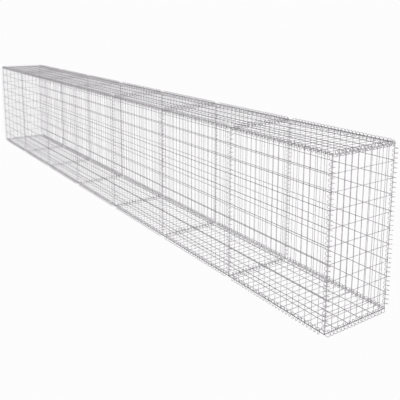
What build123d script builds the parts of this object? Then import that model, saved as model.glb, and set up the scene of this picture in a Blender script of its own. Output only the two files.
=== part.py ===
from build123d import *

import os
from math import pi, sqrt

os.makedirs("parts", exist_ok=True)

# Welded mesh: 50 mm between upright or cross wires, 100 mm between rows.
bays = 7
wire_spacing = 50
row_spacing = 100
bay_wires = 18
end_wires = 11
wall_rows = 11
deck_rows = 6

# Square bars carry the same steel as the round wires they stand for.
mesh_wire = 3.2
spiral_wire = 3.0
mesh_bar = mesh_wire * sqrt(pi) / 2
spiral_bar = spiral_wire * sqrt(pi) / 2

# Seven turns to four meshes, so every turn passes between the mesh wires.
spiral_pitch = 4 * wire_spacing / 7
spiral_radius = 16.5
spiral_reach = spiral_radius + spiral_bar / 2
edge_turns = 28.5
edge_start = 22.36
upright_turns = 33.75
upright_start = 22.84
cross_turns = 17.25
cross_start = 8.55

# Each panel's edge wire stands back from the line where panels meet.
seam_gap = 4.5
bay_length = (bay_wires - 1) * wire_spacing + 2 * seam_gap
length = bays * bay_length
width = (end_wires - 1) * wire_spacing + 2 * seam_gap
height = (wall_rows - 1) * row_spacing + 2 * seam_gap
base_z = spiral_reach
lid_z = base_z + height
middle_z = (base_z + lid_z) / 2
front_y = -width / 2
back_y = width / 2
near_x = length / 2
far_x = -length / 2

EAST = Vector(1, 0, 0)
NORTH = Vector(0, 1, 0)
UP = Vector(0, 0, 1)


def welded_mesh(wires, rows):
    span = (wires - 1) * wire_spacing + mesh_bar
    rise = (rows - 1) * row_spacing + mesh_bar
    with BuildPart() as mesh:
        with BuildSketch():
            with GridLocations(wire_spacing, row_spacing, wires, 1):
                Rectangle(mesh_bar, rise)
        extrude(amount=mesh_bar)
        with BuildSketch():
            with GridLocations(wire_spacing, row_spacing, 1, rows):
                Rectangle(span, mesh_bar)
        extrude(amount=-mesh_bar)
    return mesh.part


def spiral(turns):
    with BuildPart() as coil:
        with BuildLine() as path:
            Helix(spiral_pitch, turns * spiral_pitch, spiral_radius, lefthand=True)
        with BuildSketch(Plane(path.line @ 0, x_dir=EAST, z_dir=path.line % 0)):
            Rectangle(spiral_bar, spiral_bar)
        sweep(is_frenet=True)
    return coil.part


def threaded(corner, start, along, first):
    return Plane(corner + along * start, x_dir=first, z_dir=along)


def save(node, name):
    node.part.label = name
    export_step(node.part, f"parts/{name}.step", write_pcurves=False)


wall_mesh = welded_mesh(bay_wires, wall_rows)
deck_mesh = welded_mesh(bay_wires, deck_rows)
end_mesh = welded_mesh(end_wires, wall_rows)

# Rows lie outside on every panel, and the closer wires face into the basket.
for bay in range(bays):
    bay_x = near_x - (bay + 0.5) * bay_length
    panels = {
        "front_panel": (wall_mesh, Vector(bay_x, front_y, middle_z), -EAST, NORTH),
        "back_panel": (wall_mesh, Vector(bay_x, back_y, middle_z), EAST, -NORTH),
        "base_panel": (deck_mesh, Vector(bay_x, 0, base_z), EAST, UP),
        "lid_panel": (deck_mesh, Vector(bay_x, 0, lid_z), EAST, -UP),
    }
    for name, (mesh, centre, across, inward) in panels.items():
        with BuildPart() as panel:
            with Locations(Plane(centre, x_dir=across, z_dir=inward)):
                add(mesh)
        save(panel, f"{name}_{bay + 1}")

with BuildPart() as near_end_panel:
    with Locations(Plane((near_x, 0, middle_z), x_dir=-NORTH, z_dir=-EAST)):
        add(end_mesh)
save(near_end_panel, "near_end_panel")

with BuildPart() as far_end_panel:
    with Locations(Plane((far_x, 0, middle_z), x_dir=NORTH, z_dir=EAST)):
        add(end_mesh)
save(far_end_panel, "far_end_panel")

edge_spiral = spiral(edge_turns)
upright_spiral = spiral(upright_turns)
cross_spiral = spiral(cross_turns)

# Long edges: one spiral a bay, centred on the inner wires of both panels.
inner = mesh_bar / 2
edges = {
    "lid_front_spirals": (front_y + inner, lid_z - inner, EAST, NORTH),
    "lid_back_spirals": (back_y - inner, lid_z - inner, -EAST, -NORTH),
    "base_front_spirals": (front_y + inner, base_z + inner, -EAST, NORTH),
    "base_back_spirals": (back_y - inner, base_z + inner, EAST, -NORTH),
}
for name, (edge_y, edge_z, along, inward) in edges.items():
    places = []
    for bay in range(bays):
        bay_x = near_x - (bay + 0.5) * bay_length
        corner = Vector(bay_x, edge_y, edge_z) - along * (bay_length / 2)
        places.append(threaded(corner, edge_start, along, inward))
    with BuildPart() as edge_spirals:
        with Locations(*places):
            add(edge_spiral)
    save(edge_spirals, name)

# Seams: two uprights, one spiral across the lid and one across the base.
seams = ["near_end"] + [f"seam_{seam}" for seam in range(1, bays)] + ["far_end"]
for seam, name in enumerate(seams):
    seam_x = near_x - seam * bay_length
    front_first = NORTH if seam == 0 else EAST
    back_first = -NORTH if seam == bays else -EAST
    inward = EAST if seam == bays else -EAST
    across = -NORTH if seam == bays else NORTH
    lid_corner = Vector(seam_x, -across.Y * width / 2, lid_z)
    base_corner = Vector(seam_x, across.Y * width / 2, base_z)
    with BuildPart() as seam_spirals:
        with Locations(
            threaded(Vector(seam_x, front_y, base_z), upright_start, UP, front_first),
            threaded(Vector(seam_x, back_y, base_z), upright_start, UP, back_first),
        ):
            add(upright_spiral)
        with Locations(
            threaded(lid_corner, cross_start, across, inward),
            threaded(base_corner, cross_start, -across, inward),
        ):
            add(cross_spiral)
    save(seam_spirals, f"{name}_spirals")
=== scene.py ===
import math
import random

import bmesh
import bpy
from mathutils import Matrix, Vector


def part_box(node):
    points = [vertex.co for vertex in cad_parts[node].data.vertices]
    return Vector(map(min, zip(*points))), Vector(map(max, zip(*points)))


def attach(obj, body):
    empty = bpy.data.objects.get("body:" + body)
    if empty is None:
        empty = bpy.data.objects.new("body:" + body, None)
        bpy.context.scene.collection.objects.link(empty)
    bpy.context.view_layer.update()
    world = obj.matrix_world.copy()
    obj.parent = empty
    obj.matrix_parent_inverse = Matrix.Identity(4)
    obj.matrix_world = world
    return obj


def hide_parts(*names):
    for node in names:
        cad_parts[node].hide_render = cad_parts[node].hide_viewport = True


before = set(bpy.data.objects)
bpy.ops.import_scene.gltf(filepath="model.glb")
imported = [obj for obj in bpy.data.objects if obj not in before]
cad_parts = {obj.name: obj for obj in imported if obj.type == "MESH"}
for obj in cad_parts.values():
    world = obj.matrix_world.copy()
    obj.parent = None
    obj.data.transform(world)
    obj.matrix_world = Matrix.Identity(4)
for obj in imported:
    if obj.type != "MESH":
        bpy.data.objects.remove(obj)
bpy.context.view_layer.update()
print("frame loaded:", len(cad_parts), "nodes")

# Wall layout, the same values as the solids, in metres
wall = {
    "bays": 7,
    "bayLength": 0.859,
    "width": 0.509,
    "height": 1.009,
    "meshBar": 0.002836,      # side of the square bar that a mesh wire fills
    "spiralReach": 0.017829,  # spiral axis to the outside of a turn
}
wall["length"] = wall["bays"] * wall["bayLength"]
wall["baseZ"] = wall["spiralReach"]
wall["lidZ"] = wall["baseZ"] + wall["height"]

east, north, up = Vector((1, 0, 0)), Vector((0, 1, 0)), Vector((0, 0, 1))


# Zinc finish, shared by the mesh and the spirals
zincFinish = {
    "spangleScale": 260.0,   # crystals about 4 mm across
    "bloomScale": 7.0,       # cloudy oxide, a hand's width
    "grainScale": 1400.0,    # fine drawn skin of the wire
    # meshDark is the dark end of the mesh tones; the long rows' painted shade lies near it
    "meshDark": (0.120, 0.100, 0.123, 1.0),
    "meshLight": (0.775, 0.750, 0.780, 1.0),
    "spiralDark": (0.300, 0.278, 0.304, 1.0),
    "spiralLight": (0.740, 0.713, 0.745, 1.0),
    "bloom": (0.600, 0.574, 0.605, 1.0),
    "weldTint": (0.240, 0.220, 0.235, 1.0),
    "bloomFrom": 0.48,       # cloud values between which the oxide comes in
    "bloomTo": 0.72,
    "bloomMost": 0.2,
    "crystalShare": 0.45,    # how far the crystals move a wire's tone
    "crystalShift": -0.1,
    "toneShare": 0.7,
    "roughLow": 0.42,
    "roughHigh": 0.62,
    "crystalRelief": 0.3,
    "metal": 0.08,
    "shine": 0.15,
    "weldCore": 0.02,        # share of the run between welds
    "weldReach": 0.09,
    "weldMost": 0.5,
    "bumpStrength": 0.25,
    "bumpDepth": 0.0001,
}


def colourMix(nodes, links, share, first, second):
    mix = nodes.new("ShaderNodeMix")
    mix.data_type = "RGBA"
    links.new(share, mix.inputs[0])
    for socket, value in ((mix.inputs[6], first), (mix.inputs[7], second)):  # the colour pair of a mix
        if isinstance(value, tuple):
            socket.default_value = value
        else:
            links.new(value, socket)
    return mix.outputs[2]


def makeZincSkin():
    group = bpy.data.node_groups.new("zincSkin", "ShaderNodeTree")
    for name, kind in (("Position", "NodeSocketVector"), ("Tone", "NodeSocketFloat"),
                       ("Weld", "NodeSocketFloat"), ("Dark", "NodeSocketColor"), ("Light", "NodeSocketColor")):
        group.interface.new_socket(name=name, in_out="INPUT", socket_type=kind)
    for name, kind in (("Color", "NodeSocketColor"), ("Roughness", "NodeSocketFloat"),
                       ("Height", "NodeSocketFloat")):
        group.interface.new_socket(name=name, in_out="OUTPUT", socket_type=kind)
    nodes, links = group.nodes, group.links
    entry = nodes.new("NodeGroupInput")
    leave = nodes.new("NodeGroupOutput")

    spangle = nodes.new("ShaderNodeTexVoronoi")
    spangle.inputs["Scale"].default_value = zincFinish["spangleScale"]
    links.new(entry.outputs["Position"], spangle.inputs["Vector"])
    crystal = nodes.new("ShaderNodeSeparateColor")
    links.new(spangle.outputs["Color"], crystal.inputs["Color"])

    cloud = nodes.new("ShaderNodeTexNoise")
    cloud.inputs["Scale"].default_value = zincFinish["bloomScale"]
    cloud.inputs["Detail"].default_value = 5.0
    links.new(entry.outputs["Position"], cloud.inputs["Vector"])
    bloomMask = nodes.new("ShaderNodeMapRange")
    bloomMask.inputs["From Min"].default_value = zincFinish["bloomFrom"]
    bloomMask.inputs["From Max"].default_value = zincFinish["bloomTo"]
    bloomMask.inputs["To Max"].default_value = zincFinish["bloomMost"]
    links.new(cloud.outputs["Fac"], bloomMask.inputs["Value"])

    grain = nodes.new("ShaderNodeTexNoise")
    grain.inputs["Scale"].default_value = zincFinish["grainScale"]
    grain.inputs["Detail"].default_value = 2.0
    links.new(entry.outputs["Position"], grain.inputs["Vector"])

    # each wire's tone, random per wire and painted shade on the long rows, with its crystals on top
    crystalShare = nodes.new("ShaderNodeMath")
    crystalShare.operation = "MULTIPLY_ADD"
    crystalShare.inputs[1].default_value = zincFinish["crystalShare"]
    crystalShare.inputs[2].default_value = zincFinish["crystalShift"]
    links.new(crystal.outputs["Red"], crystalShare.inputs[0])
    tone = nodes.new("ShaderNodeMath")
    tone.operation = "MULTIPLY_ADD"
    tone.use_clamp = True
    tone.inputs[1].default_value = zincFinish["toneShare"]
    links.new(entry.outputs["Tone"], tone.inputs[0])
    links.new(crystalShare.outputs["Value"], tone.inputs[2])

    steel = colourMix(nodes, links, tone.outputs["Value"], entry.outputs["Dark"], entry.outputs["Light"])
    bloomed = colourMix(nodes, links, bloomMask.outputs["Result"], steel, zincFinish["bloom"])
    welded = colourMix(nodes, links, entry.outputs["Weld"], bloomed, zincFinish["weldTint"])
    links.new(welded, leave.inputs["Color"])

    rough = nodes.new("ShaderNodeMapRange")
    rough.inputs["To Min"].default_value = zincFinish["roughLow"]
    rough.inputs["To Max"].default_value = zincFinish["roughHigh"]
    links.new(cloud.outputs["Fac"], rough.inputs["Value"])
    links.new(rough.outputs["Result"], leave.inputs["Roughness"])

    height = nodes.new("ShaderNodeMath")
    height.operation = "MULTIPLY_ADD"
    height.inputs[1].default_value = zincFinish["crystalRelief"]
    links.new(crystal.outputs["Green"], height.inputs[0])
    links.new(grain.outputs["Fac"], height.inputs[2])
    links.new(height.outputs["Value"], leave.inputs["Height"])
    return group


zincSkin = makeZincSkin()


def zincMaterial(name, dark, light):
    material = bpy.data.materials.new(name)
    material.use_nodes = True
    nodes, links = material.node_tree.nodes, material.node_tree.links
    shader = nodes["Principled BSDF"]
    shader.inputs["Metallic"].default_value = zincFinish["metal"]
    shader.inputs["Specular IOR Level"].default_value = zincFinish["shine"]
    place = nodes.new("ShaderNodeTexCoord")
    tone = nodes.new("ShaderNodeAttribute")
    tone.attribute_name = "wireTone"
    run = nodes.new("ShaderNodeAttribute")
    run.attribute_name = "weldRun"
    # whole numbers along the run are the welds
    offset = nodes.new("ShaderNodeMath")
    offset.operation = "PINGPONG"
    offset.inputs[1].default_value = 0.5
    links.new(run.outputs["Fac"], offset.inputs[0])
    weld = nodes.new("ShaderNodeMapRange")
    weld.interpolation_type = "SMOOTHSTEP"
    weld.inputs["From Min"].default_value = zincFinish["weldCore"]
    weld.inputs["From Max"].default_value = zincFinish["weldReach"]
    weld.inputs["To Min"].default_value = zincFinish["weldMost"]
    weld.inputs["To Max"].default_value = 0.0
    links.new(offset.outputs["Value"], weld.inputs["Value"])
    skin = nodes.new("ShaderNodeGroup")
    skin.node_tree = zincSkin
    skin.inputs["Dark"].default_value = zincFinish[dark]
    skin.inputs["Light"].default_value = zincFinish[light]
    links.new(place.outputs["Object"], skin.inputs["Position"])
    links.new(tone.outputs["Fac"], skin.inputs["Tone"])
    links.new(weld.outputs["Result"], skin.inputs["Weld"])
    bump = nodes.new("ShaderNodeBump")
    bump.inputs["Strength"].default_value = zincFinish["bumpStrength"]
    bump.inputs["Distance"].default_value = zincFinish["bumpDepth"]
    links.new(skin.outputs["Height"], bump.inputs["Height"])
    links.new(skin.outputs["Color"], shader.inputs["Base Color"])
    links.new(skin.outputs["Roughness"], shader.inputs["Roughness"])
    links.new(bump.outputs["Normal"], shader.inputs["Normal"])
    return material


meshZinc = zincMaterial("meshZinc", "meshDark", "meshLight")
spiralZinc = zincMaterial("spiralZinc", "spiralDark", "spiralLight")
print("zinc finish ready")


def finishPiece(name, bm, material, nodeName):
    mesh = bpy.data.meshes.new(name)
    bm.to_mesh(mesh)
    bm.free()
    mesh.materials.append(material)
    piece = bpy.data.objects.new(name, mesh)
    bpy.context.scene.collection.objects.link(piece)
    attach(piece, "root")
    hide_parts(nodeName)
    return piece


def roundEnds(faces, sides):
    for face in faces:
        face.smooth = len(face.verts) == 4
        if len(face.verts) == sides:  # the cut end keeps its sharp rim
            for edge in face.edges:
                edge.smooth = False


# Welded mesh panels
panelWires = {
    "wireRadius": 0.0016,
    "wireSides": 8,
    "wireSpacing": 0.05,
    "rowSpacing": 0.1,
    "weldRadius": 0.0021,
    "weldFlat": 0.62,
    "weldTone": 0.2,
    "wireTones": (0.72, 0.97),  # bright zinc, a little different on each wire
    "rowTonesPaintedShadeOnLong": (0.0, 0.10),    # painted shade: the long rows, which all run along X, are painted much darker than the other wires, the shade that light falling along the wall gives them
    "endTones": (0.48, 0.72),
    "toneSeed": 41,
}
panelTones = random.Random(panelWires["toneSeed"])


def straightWire(bm, start, finish, firstWeld, spacing, tones):
    toneLayer = bm.verts.layers.float["wireTone"]
    runLayer = bm.verts.layers.float["weldRun"]
    along = (finish - start).normalized()
    turn = along.to_track_quat("Z", "Y").to_matrix().to_4x4()
    made = bmesh.ops.create_cone(
        bm, cap_ends=True, cap_tris=False, segments=panelWires["wireSides"],
        radius1=panelWires["wireRadius"], radius2=panelWires["wireRadius"],
        depth=(finish - start).length, matrix=Matrix.Translation((start + finish) / 2) @ turn)["verts"]
    tone = panelTones.uniform(*tones)
    for vert in made:
        vert[toneLayer] = tone
        vert[runLayer] = ((vert.co - start).dot(along) - firstWeld) / spacing + 4.0  # kept above zero
    roundEnds({face for vert in made for face in vert.link_faces}, panelWires["wireSides"])


def weldBead(bm, spot, normalAxis):
    flat = Vector((1, 1, 1))
    flat[normalAxis] = panelWires["weldFlat"]
    made = bmesh.ops.create_icosphere(
        bm, subdivisions=1, radius=panelWires["weldRadius"],
        matrix=Matrix.Translation(spot) @ Matrix.Diagonal(flat).to_4x4())["verts"]
    toneLayer = bm.verts.layers.float["wireTone"]
    for vert in made:
        vert[toneLayer] = panelWires["weldTone"]
        for face in vert.link_faces:
            face.smooth = True


def weldedPanel(name, nodeName, wireAxis, rowAxis, wiresHigh):
    low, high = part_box(nodeName)
    normalAxis = 3 - wireAxis - rowAxis
    # on the long panels the rows get the painted shade tones; the end panels keep one mid range for wires and
    # rows
    wireTones, rowTonesPaintedShadeOnLong = panelWires["wireTones"], panelWires["rowTonesPaintedShadeOnLong"]
    if normalAxis == 0:  # the end panels
        wireTones = rowTonesPaintedShadeOnLong = panelWires["endTones"]
    half = wall["meshBar"] / 2
    middle = (low[normalAxis] + high[normalAxis]) / 2
    wireLayer = middle + (half if wiresHigh else -half)
    rowLayer = middle - (half if wiresHigh else -half)
    bm = bmesh.new()
    bm.verts.layers.float.new("wireTone")
    bm.verts.layers.float.new("weldRun")
    wireCount = round((high[rowAxis] - low[rowAxis]) / panelWires["wireSpacing"]) + 1
    rowCount = round((high[wireAxis] - low[wireAxis]) / panelWires["rowSpacing"]) + 1
    wirePlaces = [low[rowAxis] + half + panelWires["wireSpacing"] * i for i in range(wireCount)]
    rowPlaces = [low[wireAxis] + half + panelWires["rowSpacing"] * i for i in range(rowCount)]
    for place in wirePlaces:
        start, finish = Vector(), Vector()
        start[rowAxis] = finish[rowAxis] = place
        start[normalAxis] = finish[normalAxis] = wireLayer
        start[wireAxis], finish[wireAxis] = low[wireAxis], high[wireAxis]
        straightWire(bm, start, finish, half, panelWires["rowSpacing"], wireTones)
    for place in rowPlaces:
        start, finish = Vector(), Vector()
        start[wireAxis] = finish[wireAxis] = place
        start[normalAxis] = finish[normalAxis] = rowLayer
        start[rowAxis], finish[rowAxis] = low[rowAxis], high[rowAxis]
        straightWire(bm, start, finish, half, panelWires["wireSpacing"], rowTonesPaintedShadeOnLong)
        for crossing in wirePlaces:
            spot = Vector()
            spot[wireAxis], spot[rowAxis], spot[normalAxis] = place, crossing, middle
            weldBead(bm, spot, normalAxis)
    finishPiece(name, bm, meshZinc, nodeName)


for bay in range(1, wall["bays"] + 1):
    weldedPanel(f"frontPanelWires{bay}", f"front_panel_{bay}", 2, 0, True)
    weldedPanel(f"backPanelWires{bay}", f"back_panel_{bay}", 2, 0, False)
    weldedPanel(f"basePanelWires{bay}", f"base_panel_{bay}", 1, 0, True)
    weldedPanel(f"lidPanelWires{bay}", f"lid_panel_{bay}", 1, 0, False)
weldedPanel("nearEndPanelWires", "near_end_panel", 2, 1, False)
weldedPanel("farEndPanelWires", "far_end_panel", 2, 1, True)
print("welded panels wired")


# Spiral binders, screwed along every edge and seam
spiralBinders = {
    "wireRadius": 0.0015,
    "wireSides": 6,
    "stepsPerTurn": 16,
    "pitch": 0.2 / 7,
    "edgeTurns": 28.5,
    "edgeStart": 0.02236,
    "uprightTurns": 33.75,
    "uprightStart": 0.02284,
    "crossTurns": 17.25,
    "crossStart": 0.00855,
    "edgeTones": (0.3, 0.6),
    "uprightTones": (0.75, 1.0),
    "crossTones": (0.2, 0.5),
    "toneSeed": 17,
}
spiralTones = random.Random(spiralBinders["toneSeed"])


def spiralMesh(name, turns):
    radius = wall["spiralReach"] - spiralBinders["wireRadius"]
    steps = round(turns * spiralBinders["stepsPerTurn"])
    lead = math.atan2(spiralBinders["pitch"], 2 * math.pi * radius)
    section = Matrix.Translation((radius, 0, 0)) @ Matrix.Rotation(math.pi / 2 - lead, 4, "X")
    bm = bmesh.new()
    ring = bmesh.ops.create_circle(bm, cap_ends=False, segments=spiralBinders["wireSides"],
                                   radius=spiralBinders["wireRadius"], matrix=section)["verts"]
    rim = {edge for vert in ring for edge in vert.link_edges}
    bmesh.ops.contextual_create(bm, geom=list(rim))
    swept = bmesh.ops.spin(  # turned backwards, for a left-handed spiral
        bm, geom=ring + list(rim), cent=(0, 0, 0), axis=(0, 0, 1), angle=-2 * math.pi * turns,
        steps=steps, dvec=(0, 0, turns * spiralBinders["pitch"] / steps), use_duplicate=False)
    lastRim = [item for item in swept["geom_last"] if isinstance(item, bmesh.types.BMEdge)]
    bmesh.ops.contextual_create(bm, geom=lastRim)
    bmesh.ops.recalc_face_normals(bm, faces=bm.faces[:])
    roundEnds(bm.faces, spiralBinders["wireSides"])
    mesh = bpy.data.meshes.new(name)
    bm.to_mesh(mesh)
    bm.free()
    return mesh


edgeSpiral = spiralMesh("edgeSpiral", spiralBinders["edgeTurns"])
uprightSpiral = spiralMesh("uprightSpiral", spiralBinders["uprightTurns"])
crossSpiral = spiralMesh("crossSpiral", spiralBinders["crossTurns"])


def placeSpiral(bm, spiral, corner, kind, along, first):
    origin = corner + along * spiralBinders[f"{kind}Start"]
    side = along.cross(first)
    place = Matrix((first, side, along)).transposed().to_4x4()
    place.translation = origin
    before = len(bm.verts)
    bm.from_mesh(spiral)
    bm.verts.ensure_lookup_table()
    turns = bm.verts[before:]
    bmesh.ops.transform(bm, matrix=place, verts=turns)
    tone = spiralTones.uniform(*spiralBinders[f"{kind}Tones"])
    toneLayer = bm.verts.layers.float["wireTone"]
    runLayer = bm.verts.layers.float["weldRun"]
    for vert in turns:
        vert[toneLayer] = tone
        vert[runLayer] = 0.5  # between welds all along


def startSpirals():
    bm = bmesh.new()
    bm.verts.layers.float.new("wireTone")
    bm.verts.layers.float.new("weldRun")
    return bm


halfLength, halfWidth = wall["length"] / 2, wall["width"] / 2
inner = wall["meshBar"] / 2  # long spirals are centred on the inner wires
longEdges = {
    "lidFrontSpirals": ("lid_front_spirals", inner - halfWidth, wall["lidZ"] - inner, east, north),
    "lidBackSpirals": ("lid_back_spirals", halfWidth - inner, wall["lidZ"] - inner, -east, -north),
    "baseFrontSpirals": ("base_front_spirals", inner - halfWidth, wall["baseZ"] + inner, -east, north),
    "baseBackSpirals": ("base_back_spirals", halfWidth - inner, wall["baseZ"] + inner, east, -north),
}
for name, (nodeName, edgeY, edgeZ, along, inward) in longEdges.items():
    bm = startSpirals()
    for bay in range(wall["bays"]):
        middle = Vector((halfLength - (bay + 0.5) * wall["bayLength"], edgeY, edgeZ))
        corner = middle - along * wall["bayLength"] / 2
        placeSpiral(bm, edgeSpiral, corner, "edge", along, inward)
    finishPiece(name, bm, spiralZinc, nodeName)

for seam in range(wall["bays"] + 1):
    atFarEnd = seam == wall["bays"]
    name, nodeName = f"seamSpirals{seam}", f"seam_{seam}_spirals"
    if seam == 0:
        name, nodeName = "nearEndSpirals", "near_end_spirals"
    elif atFarEnd:
        name, nodeName = "farEndSpirals", "far_end_spirals"
    seamX = halfLength - seam * wall["bayLength"]
    frontFirst = north if seam == 0 else east
    backFirst = -north if atFarEnd else -east
    inward = east if atFarEnd else -east
    across = -north if atFarEnd else north
    bm = startSpirals()
    for cornerY, first in ((-halfWidth, frontFirst), (halfWidth, backFirst)):
        foot = Vector((seamX, cornerY, wall["baseZ"]))
        placeSpiral(bm, uprightSpiral, foot, "upright", up, first)
    for run, seamZ in ((across, wall["lidZ"]), (-across, wall["baseZ"])):
        corner = Vector((seamX, 0, seamZ)) - run * halfWidth
        placeSpiral(bm, crossSpiral, corner, "cross", run, inward)
    finishPiece(name, bm, spiralZinc, nodeName)
print("spirals wound")


# Studio: pale floor, soft lights low at both ends, white surroundings
studio = {
    "white": (1.0, 0.992, 1.0, 1.0),
    "floorRoughness": 0.9,
    "floorSize": 80.0,
    "floorColour": (0.85, 0.85, 0.85, 1.0),
    "floorWhite": 0.98,      # share of plain white that the camera sees
    "skyWhite": 0.985,       # level with the floor, so no horizon shows
    "fill": 0.10,            # light from all round
    "nearStrength": 3.2,
    "farStrength": 2.0,
    "softness": 24.0,        # degrees
    "nearFrom": (1.0, -0.27, 0.10),
    "farFrom": (-1.0, 0.27, 0.10),
}


def sightRays(nodes, links):
    path = nodes.new("ShaderNodeLightPath")
    camera = nodes.new("ShaderNodeMath")
    camera.operation = "MAXIMUM"
    links.new(path.outputs["Is Camera Ray"], camera.inputs[0])
    links.new(path.outputs["Is Glossy Ray"], camera.inputs[1])
    seen = nodes.new("ShaderNodeMath")
    seen.operation = "MAXIMUM"
    links.new(camera.outputs["Value"], seen.inputs[0])
    links.new(path.outputs["Is Transmission Ray"], seen.inputs[1])
    return seen.outputs["Value"]


def makeFloor():
    bm = bmesh.new()
    bmesh.ops.create_grid(bm, x_segments=1, y_segments=1, size=studio["floorSize"] / 2)
    mesh = bpy.data.meshes.new("studioFloor")
    bm.to_mesh(mesh)
    bm.free()
    material = bpy.data.materials.new("floorPaper")
    material.use_nodes = True
    nodes, links = material.node_tree.nodes, material.node_tree.links
    paper = nodes["Principled BSDF"]
    paper.inputs["Base Color"].default_value = studio["floorColour"]
    paper.inputs["Roughness"].default_value = studio["floorRoughness"]
    paper.inputs["Specular IOR Level"].default_value = 0.0
    white = nodes.new("ShaderNodeEmission")
    white.inputs["Color"].default_value = studio["white"]
    share = nodes.new("ShaderNodeMath")
    share.operation = "MULTIPLY"
    share.inputs[1].default_value = studio["floorWhite"]
    links.new(sightRays(nodes, links), share.inputs[0])
    mix = nodes.new("ShaderNodeMixShader")
    links.new(share.outputs["Value"], mix.inputs["Fac"])
    links.new(paper.outputs["BSDF"], mix.inputs[1])
    links.new(white.outputs["Emission"], mix.inputs[2])
    links.new(mix.outputs["Shader"], nodes["Material Output"].inputs["Surface"])
    mesh.materials.append(material)
    floor = bpy.data.objects.new("studioFloor", mesh)
    bpy.context.scene.collection.objects.link(floor)


def makeLight():
    world = bpy.data.worlds.new("studioWorld")
    bpy.context.scene.world = world
    world.use_nodes = True
    nodes, links = world.node_tree.nodes, world.node_tree.links
    fill = nodes["Background"]
    fill.inputs["Color"].default_value = (1, 1, 1, 1)
    fill.inputs["Strength"].default_value = studio["fill"]
    white = nodes.new("ShaderNodeBackground")
    white.inputs["Color"].default_value = studio["white"]
    white.inputs["Strength"].default_value = studio["skyWhite"]
    mix = nodes.new("ShaderNodeMixShader")
    links.new(sightRays(nodes, links), mix.inputs["Fac"])
    links.new(fill.outputs["Background"], mix.inputs[1])
    links.new(white.outputs["Background"], mix.inputs[2])
    links.new(mix.outputs["Shader"], nodes["World Output"].inputs["Surface"])
    for end in ("near", "far"):
        softLight = bpy.data.lights.new(f"{end}Light", "SUN")
        softLight.energy = studio[f"{end}Strength"]
        softLight.angle = math.radians(studio["softness"])
        lamp = bpy.data.objects.new(f"{end}Light", softLight)
        lamp.rotation_euler = Vector(studio[f"{end}From"]).to_track_quat("Z", "Y").to_euler()
        bpy.context.scene.collection.objects.link(lamp)


makeFloor()
makeLight()
bpy.context.scene.view_settings.view_transform = "Standard"
print("studio lit")


# Camera at the photograph's place, low and off the near end
photoCamera = {
    "position": (4.9571, -2.4099, 1.7166),
    "heading": 2.5423,       # radians from +X
    "tilt": -0.1775,
    "roll": 0.0038,
    "focalPixels": 567.91,
    "imageSize": 400,
    "axisRow": 118.62,       # image row that the lens axis meets
}


def makeCamera():
    heading, tilt, roll = photoCamera["heading"], photoCamera["tilt"], photoCamera["roll"]
    ahead = math.cos(tilt)
    forward = Vector((math.cos(heading) * ahead, math.sin(heading) * ahead, math.sin(tilt)))
    level = Vector((math.sin(heading), -math.cos(heading), 0))
    rise = level.cross(forward)
    right = level * math.cos(roll) + rise * math.sin(roll)
    top = rise * math.cos(roll) - level * math.sin(roll)
    lens = bpy.data.cameras.new("photoCamera")
    lens.sensor_width = 36.0
    lens.lens = photoCamera["focalPixels"] * lens.sensor_width / photoCamera["imageSize"]
    lens.shift_y = (photoCamera["axisRow"] - photoCamera["imageSize"] / 2) / photoCamera["imageSize"]
    lens.clip_end = 200.0
    camera = bpy.data.objects.new("photoCamera", lens)
    stand = Matrix((right, top, -forward)).transposed().to_4x4()
    stand.translation = Vector(photoCamera["position"])
    camera.matrix_world = stand
    bpy.context.scene.collection.objects.link(camera)
    bpy.context.scene.camera = camera


makeCamera()
print("camera set")

bpy.context.view_layer.update()
